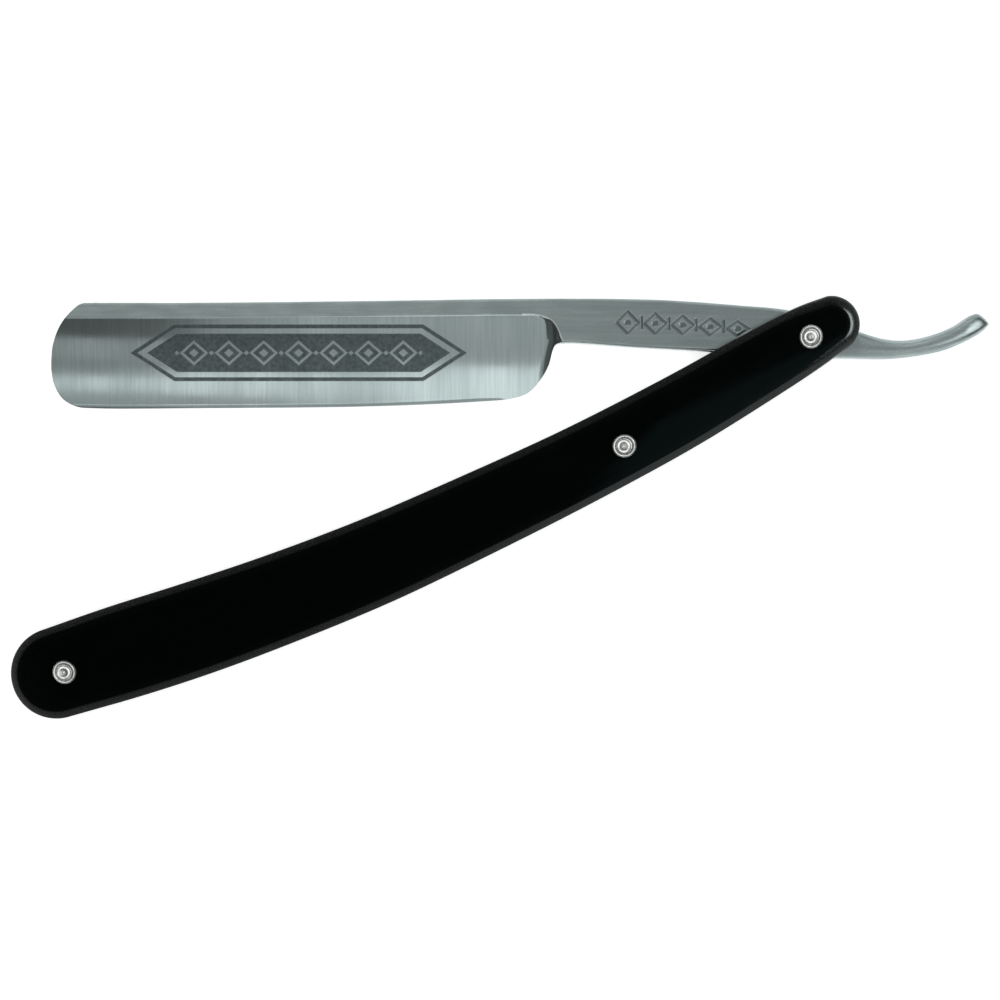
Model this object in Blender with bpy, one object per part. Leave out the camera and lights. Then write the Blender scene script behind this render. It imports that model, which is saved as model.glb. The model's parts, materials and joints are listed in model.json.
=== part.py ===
"""A straight razor: a hollow-ground steel blade that folds between two black plastic scales.

Dimensions are in millimetres and degrees; MM turns them into Blender's metres as a mesh is made.
The blade is drawn about the pivot, with its spine towards +Y and its toe towards -X.
The handle is drawn about the same pivot, with its pins along X, and is then slanted as a whole.
Z is the direction of the pins, and the front faces +Z.
"""
import math

import bmesh
import bpy
import numpy as np

MM = 0.001

# Handle: x runs from the wedge end (negative) to the pivot (zero), y across the scales.
HANDLE_SLANT_DEG = 24.2
PIN_SPAN = 130.4
PIN_PLACES = {"pivot": (0.0, 0.0), "middle": (-34.25, -3.7), "wedge": (-PIN_SPAN, 0.0)}

# Edges of a scale: distance along the pins, lower edge, upper edge.
SCALE_EDGES = (
    (-120.0, -8.65, 6.7),
    (-108.0, -9.9, 5.3),
    (-94.0, -10.75, 3.9),
    (-78.0, -11.2, 2.9),
    (-60.0, -10.75, 2.6),
    (-42.0, -9.9, 2.7),
    (-24.0, -8.5, 3.6),
    (-10.0, -6.65, 4.7),
    (0.0, -5.05, 5.25),
)
# Rounded ends of a scale: centre, radius, and where the lower and upper edges meet the arc.
WEDGE_END = {"centre": (-131.8, 0.4), "radius": 7.3, "lower_deg": 264.0, "upper_deg": 85.0}
PIVOT_END = {"centre": (4.0, 0.5), "radius": 4.55, "lower_deg": -76.0, "upper_deg": 75.0}
ARC_STEPS = 9
EDGE_STEPS = 20

SCALE_THICKNESS = 2.3
SCALE_INNER_BREAK = 0.2
SCALE_WALL = 1.0
SCALE_ROUND = 1.2
SCALE_ROUND_STEPS = 3
SCALE_CROWN = 0.12
SCALE_CROWN_INSET = 3.6

# Space between the scales at the two end pins, and how far their bowing widens it at mid span.
PIVOT_GAP = 5.2
WEDGE_GAP = 3.9
BOW = 1.2

# Wedge: it stops short of the circle that the blade's toe sweeps.
WEDGE_INNER_END = -124.0
WEDGE_INSET = 0.3
FIT_GAP = 0.04

# Pins and washers.
PIN_RADIUS = 0.8
HOLE_RADIUS = 0.86
HEAD_RADIUS = 1.15
HEAD_HEIGHT = 0.24
HEAD_DIMPLE_RADIUS = 0.7
HEAD_DIMPLE_DEPTH = 0.16
HEAD_NUB_RADIUS = 0.28
HEAD_SLOPE = 0.1
WASHER_RADIUS = 1.93
WASHER_FLOOR = 0.22
WASHER_CREST = 0.52
WASHER_SHOULDER = 0.3
WASHER_GROOVE_RADIUS = 1.34
CREST_INNER_RADIUS = 1.5
CREST_OUTER_RADIUS = 1.7
WASHER_SEAT_GAP = 0.08
TANG_WASHER_RADIUS = 2.3
TANG_WASHER_THICKNESS = 0.22
ROUND_STEPS = 24
# Edges that turn more than this are shaded sharp.
SHARP_ANGLE_DEG = 30

# Blade: top and bottom outlines from the toe to the tip of the tail.
BLADE_TOP = (
    (-121.6, -4.6), (-121.3, -1.4), (-120.1, 1.8), (-118.1, 4.3), (-116.4, 5.5), (-113.0, 5.6),
    (-100.0, 5.6), (-70.0, 5.9), (-43.0, 6.25), (-24.0, 6.05), (-11.0, 5.15), (-4.0, 4.5),
    (2.0, 3.1), (8.4, 0.85), (12.0, -0.15), (15.0, -0.42), (19.0, 0.25), (23.0, 1.75),
    (26.0, 3.6), (27.2, 3.9), (28.4, 3.1), (29.1, 2.25),
)
BLADE_BOTTOM = (
    (-121.6, -4.6), (-121.2, -7.2), (-119.8, -9.7), (-117.5, -11.0), (-115.0, -11.25),
    (-97.0, -11.25), (-70.0, -10.95), (-53.0, -10.2), (-47.6, -9.7), (-45.0, -8.8),
    (-43.0, -6.7), (-41.7, -4.4), (-41.0, -1.9), (-39.6, -0.85), (-27.0, -1.55),
    (-17.5, -2.05), (-5.0, -2.9), (6.5, -3.3), (13.0, -3.35), (18.0, -2.8), (22.0, -1.9),
    (25.7, -0.3), (28.0, 1.1), (29.1, 2.25),
)
# Half the steel's thickness along the blade; it stays level where the washers bear on the tang.
HALF_THICKNESS = ((-121.6, 1.85), (-45.0, 2.3), (-25.0, 2.3), (-12.0, 2.25), (8.0, 2.25), (29.1, 1.3))
SPINE_BAND = 2.4
CORNER_BREAK = 0.5
FULL_HEIGHT = 7.0
# Points of a blade section between its two broken corners.
SECTION_POINTS = 7
HOLLOW_POWER = 2.2
EDGE_HALF_THICKNESS = 0.1
HOLLOW_END = -46.5
TANG_START = -40.5
# The toe is cut round from a blank whose spine and edge run straight on.
NOSE_START = -114.0
SPINE_AT_TOE = 5.6
EDGE_AT_TOE = -11.25
# Rounding takes at most this share off the tail's sides, which end in a low tip.
TAIL_START = 20.0
TAIL_LEAST = 0.75
# Stretches of the blade and how many sections each one gets.
BLADE_STRETCHES = (
    (-121.5, -115.0, 7), (-115.0, -50.0, 11), (-50.0, -38.0, 14), (-38.0, -4.0, 7),
    (-4.0, 25.0, 14), (25.0, 29.0, 6),
)


def smooth_curve(points, samples=16):
    """Read a centripetal Catmull-Rom curve through the points."""
    given = np.array(points, dtype=float)
    padded = np.vstack([2 * given[0] - given[1], given, 2 * given[-1] - given[-2]])
    read = []
    for before, start, end, after in zip(padded, padded[1:], padded[2:], padded[3:]):
        knots = [0.0]
        for a, b in ((before, start), (start, end), (end, after)):
            knots.append(knots[-1] + math.sqrt(np.linalg.norm(b - a)))
        for t in np.linspace(knots[1], knots[2], samples, endpoint=False):
            a1 = blend(before, start, knots[0], knots[1], t)
            a2 = blend(start, end, knots[1], knots[2], t)
            a3 = blend(end, after, knots[2], knots[3], t)
            b1 = blend(a1, a2, knots[0], knots[2], t)
            b2 = blend(a2, a3, knots[1], knots[3], t)
            read.append(blend(b1, b2, knots[1], knots[2], t))
    read.append(given[-1])
    return np.array(read)


def blend(a, b, low, high, t):
    """Go from a at low to b at high."""
    return a + (b - a) * (t - low) / (high - low)


def smooth_step(t):
    """Ease from 0 to 1."""
    t = min(max(t, 0.0), 1.0)
    return t * t * (3 - 2 * t)


def half_gap(x):
    """Give half the space between the bowed scales at a place along the handle."""
    share = -x / PIN_SPAN
    gap = PIVOT_GAP + (WEDGE_GAP - PIVOT_GAP) * share + BOW * 4 * share * (1 - share)
    return gap / 2


def arc_points(end, start_deg, stop_deg):
    """Give points on a rounded end from one angle to another."""
    angles = np.radians(np.linspace(start_deg, stop_deg, ARC_STEPS))
    circle = np.column_stack([np.cos(angles), np.sin(angles)])
    return np.array(end["centre"]) + end["radius"] * circle


def scale_edge(side):
    """Give the lower (1) or upper (2) edge of a scale from the wedge end's tip to the pivot end's tip."""
    edge_name = ("lower_deg", "upper_deg")[side - 1]
    sign = (1, -1)[side - 1]
    tip_step = sign * 90 / ARC_STEPS / 2
    wedge_arc = arc_points(WEDGE_END, 180 + tip_step, WEDGE_END[edge_name])
    pivot_arc = arc_points(PIVOT_END, PIVOT_END[edge_name], -tip_step)
    through = [wedge_arc[-1]] + [(row[0], row[side]) for row in SCALE_EDGES] + [pivot_arc[0]]
    curve = smooth_curve(through)
    along = np.linspace(curve[0][0], curve[-1][0], EDGE_STEPS + 2)[1:-1]
    across = np.interp(along, curve[:, 0], curve[:, 1])
    return np.vstack([wedge_arc, np.column_stack([along, across]), pivot_arc])


def closed_outline(lower, upper):
    """Join a lower and an upper edge into one outline that runs anticlockwise."""
    return np.vstack([lower, upper[::-1]])


def inset(outline, distance):
    """Move each point of an anticlockwise outline inward along its normal."""
    tangent = np.roll(outline, -1, axis=0) - np.roll(outline, 1, axis=0)
    tangent /= np.linalg.norm(tangent, axis=1)[:, None]
    inward = np.column_stack([-tangent[:, 1], tangent[:, 0]])
    return outline + distance * inward


def mesh_from_rings(name, rings, cap):
    """Skin a stack of equal rings and close its first and last ring with the given cap function."""
    bm = bmesh.new()
    stack = [[bm.verts.new((x * MM, y * MM, z * MM)) for x, y, z in ring] for ring in rings]
    for lower, upper in zip(stack, stack[1:]):
        for i in range(len(lower)):
            j = (i + 1) % len(lower)
            bm.faces.new((lower[i], lower[j], upper[j], upper[i]))
    cap(bm, stack[0])
    cap(bm, stack[-1])
    bmesh.ops.recalc_face_normals(bm, faces=bm.faces)
    mesh = bpy.data.meshes.new(name)
    bm.to_mesh(mesh)
    bm.free()
    return mesh


def strip_cap(bm, ring):
    """Close a ring with strips between each point of its first half and the one across from it."""
    count = len(ring)
    for i in range(count // 2 - 1):
        bm.faces.new((ring[i], ring[i + 1], ring[count - 2 - i], ring[count - 1 - i]))


def scale_ring(outline, distance, height, facing):
    """Place one ring of a scale: inset, and lifted by the bowed gap and its height on the scale."""
    return [(x, y, facing * (half_gap(x) + height)) for x, y in inset(outline, distance)]


def scale_mesh(name, facing):
    """Make a bowed slab with a flat inner face, a rounded outer edge and a slightly crowned face."""
    outline = closed_outline(scale_edge(1), scale_edge(2))
    face_height = SCALE_THICKNESS - SCALE_CROWN
    levels = [(SCALE_INNER_BREAK, 0.0), (0.0, SCALE_INNER_BREAK)]
    for turn in np.linspace(0, math.pi / 2, SCALE_ROUND_STEPS + 1):
        height = SCALE_WALL + (face_height - SCALE_WALL) * math.sin(turn)
        levels.append((SCALE_ROUND * (1 - math.cos(turn)), height))
    levels.append((SCALE_CROWN_INSET, SCALE_THICKNESS))
    rings = [scale_ring(outline, distance, height, facing) for distance, height in levels]
    return mesh_from_rings(name, rings, strip_cap)


def wedge_mesh(name):
    """Make the tapered spacer that fills the closed end of the handle."""
    edges = []
    for side in (1, 2):
        edge = scale_edge(side)
        kept = edge[edge[:, 0] < WEDGE_INNER_END]
        last = (WEDGE_INNER_END, np.interp(WEDGE_INNER_END, edge[ARC_STEPS:, 0], edge[ARC_STEPS:, 1]))
        edges.append(np.vstack([kept, last]))
    outline = inset(closed_outline(*edges), WEDGE_INSET)
    rings = [[(x, y, side * (half_gap(x) - FIT_GAP)) for x, y in outline] for side in (-1, 1)]
    return mesh_from_rings(name, rings, strip_cap)


def turned_mesh(name, profile, closed):
    """Turn a profile of (radius, height) points about Z; an open profile starts and ends on the axis."""
    bm = bmesh.new()
    verts = [bm.verts.new((radius * MM, 0, height * MM)) for radius, height in profile]
    edges = [bm.edges.new(pair) for pair in zip(verts, verts[1:])]
    if closed:
        edges.append(bm.edges.new((verts[-1], verts[0])))
    bmesh.ops.spin(bm, geom=verts + edges, cent=(0, 0, 0), axis=(0, 0, 1), angle=2 * math.pi,
                   steps=ROUND_STEPS, use_merge=True)
    bmesh.ops.remove_doubles(bm, verts=bm.verts, dist=0.001 * MM)
    bmesh.ops.recalc_face_normals(bm, faces=bm.faces)
    mesh = bpy.data.meshes.new(name)
    bm.to_mesh(mesh)
    bm.free()
    return mesh


def seat_height(pin):
    """Give the height of a cup washer's underside above the handle's middle plane."""
    return half_gap(PIN_PLACES[pin][0]) + SCALE_THICKNESS + WASHER_SEAT_GAP


def cup_washer_mesh(name):
    """Make a cup washer that stands on z = 0: a raised rim with a level crest round a sunk floor."""
    profile = [
        (HOLE_RADIUS, 0),
        (WASHER_RADIUS, 0),
        (WASHER_RADIUS, WASHER_SHOULDER),
        (CREST_OUTER_RADIUS, WASHER_CREST),
        (CREST_INNER_RADIUS, WASHER_CREST),
        (WASHER_GROOVE_RADIUS, WASHER_FLOOR),
        (HOLE_RADIUS, WASHER_FLOOR),
    ]
    return turned_mesh(name, profile, closed=True)


def pin_mesh(name, pin):
    """Make a pin with a peened head at each end: a raised lip round a dimple with a nub in it."""
    head_base = seat_height(pin) + WASHER_FLOOR + FIT_GAP
    head_top = head_base + HEAD_HEIGHT
    dimple = head_top - HEAD_DIMPLE_DEPTH
    upper_half = [
        (PIN_RADIUS, head_base),
        (HEAD_RADIUS, head_base),
        (HEAD_RADIUS - HEAD_SLOPE, head_top),
        (HEAD_DIMPLE_RADIUS + HEAD_SLOPE, head_top),
        (HEAD_DIMPLE_RADIUS, dimple),
        (HEAD_NUB_RADIUS, dimple),
        (0, head_top - HEAD_DIMPLE_DEPTH / 3),
    ]
    lower_half = [(radius, -height) for radius, height in reversed(upper_half)]
    return turned_mesh(name, lower_half + upper_half, closed=False)


def tang_washer_mesh(name):
    """Make the thin washer that keeps the tang off a scale; it is centred on z = 0."""
    half = TANG_WASHER_THICKNESS / 2
    profile = [(HOLE_RADIUS, -half), (TANG_WASHER_RADIUS, -half), (TANG_WASHER_RADIUS, half), (HOLE_RADIUS, half)]
    return turned_mesh(name, profile, closed=True)


def half_thickness(x, y, spine, edge):
    """Give half the steel's thickness where the uncut blade would run from its spine down to its edge."""
    full = np.interp(x, *np.transpose(HALF_THICKNESS))
    depth = spine - y
    corner = min(depth, spine - edge - depth, CORNER_BREAK)
    tang = full - CORNER_BREAK + max(corner, 0.0)
    share = min(max((depth - SPINE_BAND) / (spine - edge - SPINE_BAND), 0.0), 1.0)
    hollow = EDGE_HALF_THICKNESS + (full - EDGE_HALF_THICKNESS) * (1 - share) ** HOLLOW_POWER
    if depth < SPINE_BAND:
        hollow = tang
    return hollow + (tang - hollow) * smooth_step((x - HOLLOW_END) / (TANG_START - HOLLOW_END))


def blade_section(x, top, bottom):
    """Give a closed ring across the blade: down its front side and back up its rear side."""
    spine = max(top, SPINE_AT_TOE) if x < NOSE_START else top
    edge = min(bottom, EDGE_AT_TOE) if x < NOSE_START else bottom
    height = spine - edge
    shrink = min(1.0, height / FULL_HEIGHT)
    corner = CORNER_BREAK * shrink
    between = np.linspace(SPINE_BAND * shrink, height - corner, SECTION_POINTS)
    depths = [0.0, corner, *between, height]
    front = []
    for depth in depths:
        y = top - depth * (top - bottom) / height
        half = half_thickness(x, y, spine, edge)
        if x > TAIL_START:
            half = max(half, TAIL_LEAST * np.interp(x, *np.transpose(HALF_THICKNESS)))
        front.append((x, y, half))
    rear = [(px, y, -z) for px, y, z in reversed(front)]
    return front + rear


def blade_mesh(name):
    """Make the blade, tang and tail as one piece of steel."""
    top = smooth_curve(BLADE_TOP)
    bottom = smooth_curve(BLADE_BOTTOM)
    sections = []
    for start, stop, count in BLADE_STRETCHES:
        sections.extend(np.linspace(start, stop, count, endpoint=False))
    sections.append(BLADE_STRETCHES[-1][1])
    rings = []
    for x in sections:
        rings.append(blade_section(x, np.interp(x, *top.T), np.interp(x, *bottom.T)))
    return mesh_from_rings(name, rings, strip_cap)


def finish(name, colour, roughness, metallic):
    """Make a plain material."""
    material = bpy.data.materials.new(name)
    material.use_nodes = True
    shader = material.node_tree.nodes["Principled BSDF"]
    shader.inputs["Base Color"].default_value = (*colour, 1)
    shader.inputs["Roughness"].default_value = roughness
    shader.inputs["Metallic"].default_value = metallic
    return material


def place(name, mesh, parent, material, place_mm=(0, 0, 0)):
    """Put a mesh in the scene as one named sub-part under its body's empty."""
    thing = bpy.data.objects.new(name, mesh)
    bpy.context.collection.objects.link(thing)
    thing.parent = parent
    thing.location = [value * MM for value in place_mm]
    mesh.materials.append(material)
    mesh.shade_smooth()
    mesh.set_sharp_from_angle(angle=math.radians(SHARP_ANGLE_DEG))
    return thing


def empty(name, parent=None):
    """Make an empty that a body's pieces hang from."""
    holder = bpy.data.objects.new(name, None)
    bpy.context.collection.objects.link(holder)
    holder.parent = parent
    return holder


def hole_cutter(name, pins, parent):
    """Make one guide object holding a round cutter for each named pin hole."""
    reach = PIVOT_GAP + SCALE_THICKNESS * 2
    bm = bmesh.new()
    for pin in pins:
        x, y = PIN_PLACES[pin]
        made = bmesh.ops.create_cone(bm, cap_ends=True, segments=ROUND_STEPS, radius1=HOLE_RADIUS * MM,
                                     radius2=HOLE_RADIUS * MM, depth=2 * reach * MM)
        bmesh.ops.translate(bm, verts=made["verts"], vec=(x * MM, y * MM, 0))
    mesh = bpy.data.meshes.new(name)
    bm.to_mesh(mesh)
    bm.free()
    cutter = bpy.data.objects.new(name, mesh)
    bpy.context.collection.objects.link(cutter)
    cutter.parent = parent
    cutter.hide_render = True
    cutter.display_type = "WIRE"
    return cutter


def drill(thing, cutter):
    """Cut the cutter's holes out of a piece."""
    cut = thing.modifiers.new("pin_holes", "BOOLEAN")
    cut.operation = "DIFFERENCE"
    cut.solver = "EXACT"
    cut.object = cutter


def make_handle(handle):
    """Make both scales, the wedge, and the pins with their washers."""
    plastic = finish("black_plastic", (0.012, 0.012, 0.013), 0.12, 0.0)
    nickel = finish("nickel_silver", (0.62, 0.6, 0.55), 0.22, 1.0)
    brass = finish("brass", (0.66, 0.5, 0.26), 0.3, 1.0)
    scale_cutter = hole_cutter("handle_hole_guide", ("pivot", "middle", "wedge"), handle)
    wedge_cutter = hole_cutter("wedge_hole_guide", ("wedge",), handle)
    for side, facing in (("front", 1), ("rear", -1)):
        scale = place(f"{side}_scale", scale_mesh(f"{side}_scale", facing), handle, plastic)
        drill(scale, scale_cutter)
    wedge = place("wedge", wedge_mesh("wedge"), handle, plastic)
    drill(wedge, wedge_cutter)
    for pin, (x, y) in PIN_PLACES.items():
        place(f"{pin}_pin", pin_mesh(f"{pin}_pin", pin), handle, nickel, (x, y, 0))
        for side, facing in (("front", 1), ("rear", -1)):
            name = f"{pin}_washer_{side}"
            washer = place(name, cup_washer_mesh(name), handle, nickel, (x, y, facing * seat_height(pin)))
            washer.rotation_euler.x = 0 if facing > 0 else math.pi
    for side, facing in (("front", 1), ("rear", -1)):
        name = f"tang_washer_{side}"
        tang_face = np.interp(0, *np.transpose(HALF_THICKNESS))
        height = facing * (tang_face + half_gap(0)) / 2
        place(name, tang_washer_mesh(name), handle, brass, (0, 0, height))


def make_blade(joint):
    """Make the blade and drill its pivot hole."""
    steel = finish("hollow_ground_steel", (0.42, 0.45, 0.45), 0.25, 1.0)
    blade = place("blade", blade_mesh("blade"), joint, steel)
    drill(blade, hole_cutter("blade_hole_guide", ("pivot",), joint))


def stand_on_origin(root):
    """Move the whole razor so that its box's bottom centre is at the world's origin."""
    bpy.context.view_layer.update()
    corners = []
    for thing in bpy.data.objects:
        if thing.type == "MESH" and not thing.hide_render:
            corners.extend(thing.matrix_world @ vertex.co for vertex in thing.data.vertices)
    points = np.array(corners)
    low, high = points.min(axis=0), points.max(axis=0)
    root.location = (-(low[0] + high[0]) / 2, -(low[1] + high[1]) / 2, -low[2])


def main():
    for thing in list(bpy.data.objects):
        bpy.data.objects.remove(thing, do_unlink=True)
    razor = empty("razor")
    handle = empty("handle", razor)
    handle.rotation_euler.z = math.radians(HANDLE_SLANT_DEG)
    blade_joint = empty("blade_joint", razor)
    make_handle(handle)
    make_blade(blade_joint)
    stand_on_origin(razor)
    bpy.context.view_layer.update()


main()
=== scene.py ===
"""A straight razor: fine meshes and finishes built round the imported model.

Shapes are written in millimetres from the pivot: the blade in its own frame, with its spine towards +Y,
and the handle in a frame whose X runs along its pins. MM turns them into metres.
"""
import json
import math

import bmesh
import bpy
import numpy as np
from mathutils import Matrix, Vector


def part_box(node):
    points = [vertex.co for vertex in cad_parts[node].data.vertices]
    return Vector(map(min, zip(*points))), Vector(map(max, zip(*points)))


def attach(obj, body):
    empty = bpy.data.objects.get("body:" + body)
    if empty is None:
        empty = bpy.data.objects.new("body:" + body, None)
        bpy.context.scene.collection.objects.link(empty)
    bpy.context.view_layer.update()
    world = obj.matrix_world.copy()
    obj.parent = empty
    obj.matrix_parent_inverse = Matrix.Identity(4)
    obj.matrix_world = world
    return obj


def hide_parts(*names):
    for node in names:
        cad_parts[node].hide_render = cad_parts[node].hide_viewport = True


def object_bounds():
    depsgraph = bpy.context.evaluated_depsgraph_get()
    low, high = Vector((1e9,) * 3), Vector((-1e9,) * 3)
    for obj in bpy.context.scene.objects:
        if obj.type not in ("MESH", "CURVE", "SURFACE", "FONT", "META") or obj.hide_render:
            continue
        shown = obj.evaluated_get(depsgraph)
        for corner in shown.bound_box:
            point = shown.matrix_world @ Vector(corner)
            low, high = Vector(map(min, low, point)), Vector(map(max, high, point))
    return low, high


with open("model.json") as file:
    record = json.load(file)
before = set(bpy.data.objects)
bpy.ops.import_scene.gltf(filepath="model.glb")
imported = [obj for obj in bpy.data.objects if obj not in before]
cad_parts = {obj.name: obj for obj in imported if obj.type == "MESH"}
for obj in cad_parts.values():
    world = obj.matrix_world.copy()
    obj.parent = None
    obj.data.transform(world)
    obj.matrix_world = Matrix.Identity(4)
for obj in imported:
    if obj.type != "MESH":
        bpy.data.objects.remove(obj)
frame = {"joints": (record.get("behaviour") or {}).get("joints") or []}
cad_low, cad_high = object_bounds()

MM = 0.001
PINS = ("pivot", "middle", "wedge")
SIDES = {"front": 1, "rear": -1}


def node_centre(node):
    """Give the middle of a CAD node's box."""
    low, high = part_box(node)
    return (low + high) / 2


PIVOT = Vector(frame["joints"][0]["pos_m"])
PIN_LINE = node_centre("pivot_pin") - node_centre("wedge_pin")
HANDLE_SLANT = math.atan2(PIN_LINE.y, PIN_LINE.x)
PIN_SPAN = PIN_LINE.length / MM

# ---------------------------------------------------------------- blade, millimetres
BLADE_TOP = (
    (-121.6, -4.6), (-121.3, -1.4), (-120.1, 1.8), (-118.1, 4.3), (-116.4, 5.5), (-113.0, 5.6),
    (-100.0, 5.6), (-70.0, 5.9), (-43.0, 6.25), (-24.0, 6.05), (-11.0, 5.15), (-4.0, 4.5),
    (2.0, 3.1), (8.4, 0.85), (12.0, -0.15), (15.0, -0.42), (19.0, 0.25), (23.0, 1.75),
    (26.0, 3.6), (27.2, 3.9), (28.4, 3.1), (29.1, 2.25),
)
BLADE_BOTTOM = (
    (-121.6, -4.6), (-121.2, -7.2), (-119.8, -9.7), (-117.5, -11.0), (-115.0, -11.25),
    (-97.0, -11.25), (-70.0, -10.95), (-53.0, -10.2), (-47.6, -9.7), (-45.0, -8.8),
    (-43.0, -6.7), (-41.7, -4.4), (-41.05, -2.0), (-40.6, -1.15), (-39.6, -0.85), (-27.0, -1.55),
    (-17.5, -2.05), (-5.0, -2.9), (6.5, -3.3), (13.0, -3.35), (18.0, -2.8), (22.0, -1.9),
    (25.7, -0.3), (28.0, 1.1), (29.1, 2.25),
)
# The line where the hollow starts: under the spine band, then down the shoulder in front of the tang.
CREASE = (
    (-121.6, 3.2), (-100.0, 3.2), (-75.0, 3.45), (-55.0, 3.7), (-46.0, 3.75), (-43.0, 3.5),
    (-41.5, 2.9), (-40.6, 1.9), (-40.0, 0.7), (-39.6, -0.35),
)
SHOULDER_TOP = 3.5
# The grinding wheel left the shoulder as a fillet of one radius.
SHOULDER_RADIUS = 4.0
SHOULDER_LEAST_REACH = 0.03
# A bright line is painted along the shoulder's crease as a painted highlight.
CREASE_HIGHLIGHT_HALF_WIDTH = 0.08
CREASE_HIGHLIGHT_FADE = 0.14
CREASE_HIGHLIGHT_PAST_CREASE = 1.0
HALF_THICKNESS = ((-121.6, 1.85), (-45.0, 2.3), (-25.0, 2.3), (-12.0, 2.25), (8.0, 2.25), (29.1, 1.3))
CORNER_RADIUS = ((-121.6, 0.4), (-10.0, 0.45), (3.0, 0.55), (9.0, 0.85), (15.0, 1.12),
                 (29.1, 0.9))
# The spine band thins upward by this slope, which fades out over this run before the tang.
BAND_TAPER = 0.02
BAND_TAPER_RUN = 6.0
# The most of the blade's height and of its half thickness that a spine corner may take.
CORNER_OF_HEIGHT = 0.48
CORNER_OF_HALF = 0.9
# The hollow's curve: a power law, with a straight share that grows towards the heel.
HOLLOW_POWER = 2.4
STRAIGHT_SHARE = ((-110.0, 0.0), (-85.0, 0.1), (-60.0, 0.36), (-45.0, 0.4))
# Strip along the crease that honing has worn, and its slope.
WEAR_WIDTH = ((-110.0, 0.03), (-90.0, 0.1), (-60.0, 0.34), (-46.0, 0.34), (-42.0, 0.03))
WEAR_SLOPE = 0.07
HOLLOW_EDGE_HALF = 0.12
HONED_EDGE_HALF = 0.03
HONED_BEVEL = 0.3
HONED_END = -44.0
# Points this far below the crease count as hollow-ground.
HOLLOW_MARGIN = 0.02
HEEL_START = -53.0
HEEL_EDGE_LEVEL = -10.2
HEEL_TURN = -46.0
NOSE_START = -114.5
SPINE_AT_TOE = 5.6
EDGE_AT_TOE = -11.25
TANG_BLEND = 0.9
TAIL_TIP_ROUND = 4.0
TAIL_TIP_LEAST = 0.02
TAIL_CROWN = ((-121.6, 0.0), (2.0, 0.0), (8.0, 0.08), (14.0, 0.2), (20.0, 0.24), (29.1, 0.26))
TOE_END = -121.55
TAIL_END = 29.0
# Stretches of the blade and the spacing of its sections along each.
BLADE_STRETCHES = (
    (TOE_END, -114.0, 0.12), (-114.0, -50.0, 0.7), (-50.0, -38.5, 0.12), (-38.5, -32.0, 0.3),
    (-32.0, -8.0, 0.09), (-8.0, 25.0, 0.3), (25.0, TAIL_END, 0.1),
)
CORNER_STEPS = 7
FLAT_STEPS = 66
HOLLOW_STEPS = 44

# Ornament stamped into the tang: a chain of lozenges, each with a dot, and a bar between them.
STAMP_START = -32.5
STAMP_END = -8.0
STAMP_MIDDLE = -20.3
STAMP_PITCH = 4.4
STAMP_COUNT = 5
STAMP_HALF_LENGTH = 1.75
STAMP_HALF_HEIGHT = 1.75
STAMP_LINE = 0.24
STAMP_DOT = 0.42
STAMP_DEPTH = 0.1
STAMP_SOFTNESS = 0.12
STAMP_SHRINK = 0.08
STAMP_BAR_HALF_HEIGHT = 0.9
# The lozenges' sides slant at about 45 degrees, and this is that slant's cosine.
STAMP_SLANT = 0.7

# Etched panel on the hollow: a long pointed frame round a row of lozenges.
PANEL_CENTRE = (-81.8, -2.4)
PANEL_HALF_STRAIGHT = 20.0
PANEL_HALF_LENGTH = 27.0
PANEL_HALF_HEIGHT = 4.5
PANEL_OUTLINE = 0.6
PANEL_BORDER = 1.45
PANEL_PITCH = 5.6
PANEL_SOFTNESS = 0.06
# Lozenges are this many times as long as they are high. Their sizes are half lengths along the row.
LOZENGE_SLANT = 1.15
LOZENGE_HALF = 2.0
LOZENGE_LINE_HALF = 0.3
SEED_EDGE = (0.85, 0.7)
BEAD_EDGE = (0.5, 0.36)
ROW_EDGE = (3.58 * PANEL_PITCH, 3.5 * PANEL_PITCH)

# ---------------------------------------------------------------- handle, millimetres
# Each row: place along the handle, lower edge and upper edge.
SCALE_EDGES = (
    (-120.0, -8.65, 6.7),
    (-108.0, -9.9, 5.3),
    (-94.0, -10.75, 3.9),
    (-78.0, -11.2, 2.9),
    (-60.0, -10.75, 2.6),
    (-42.0, -9.9, 2.7),
    (-24.0, -8.5, 3.6),
    (-10.0, -6.65, 4.7),
    (0.0, -5.05, 5.25),
)
WEDGE_END = {"centre": (-131.8, 0.4), "radius": 7.3, "lower_deg": 264.0, "upper_deg": 85.0}
PIVOT_END = {"centre": (4.0, 0.5), "radius": 4.55, "lower_deg": -76.0, "upper_deg": 75.0}
ARC_STEPS = 40
EDGE_STEPS = 240
SCALE_TRIM = 0.02
SCALE_THICKNESS = 2.3
SCALE_INNER_BREAK = 0.18
BEVEL_WIDTH = 1.15
BEVEL_RISE = 0.95
BEVEL_LIP = 0.03
BEVEL_STEPS = 7
FACE_EASE = 1.4
BEVEL_CRISP = 0.12
BEVEL_BUFFED = 1.1
SOFT_START = -6.0
SOFT_END = 3.0
SANDED_DROP = 0.15
CROWN_RISE = 0.14
CROWN_STEPS = 7
PIVOT_GAP = 5.2
WEDGE_GAP = 3.9
BOW = 1.2
WEDGE_INNER_END = -124.0
WEDGE_INSET = 0.3
WEDGE_BREAK = 0.15
FIT_GAP = 0.04

# ---------------------------------------------------------------- pins and washers, millimetres
PIN_RADIUS = 0.8
HOLE_RADIUS = 0.86
HEAD_RADIUS = 1.15
HEAD_HEIGHT = 0.24
HEAD_DIMPLE_RADIUS = 0.72
HEAD_DIMPLE_DEPTH = 0.17
HEAD_NUB_RADIUS = 0.26
HEAD_NUB_HEIGHT = 0.07
HEAD_SLOPE = 0.12
HEAD_ROUNDING = 0.08
HEAD_LEAN = (-0.1, -0.07)
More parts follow.
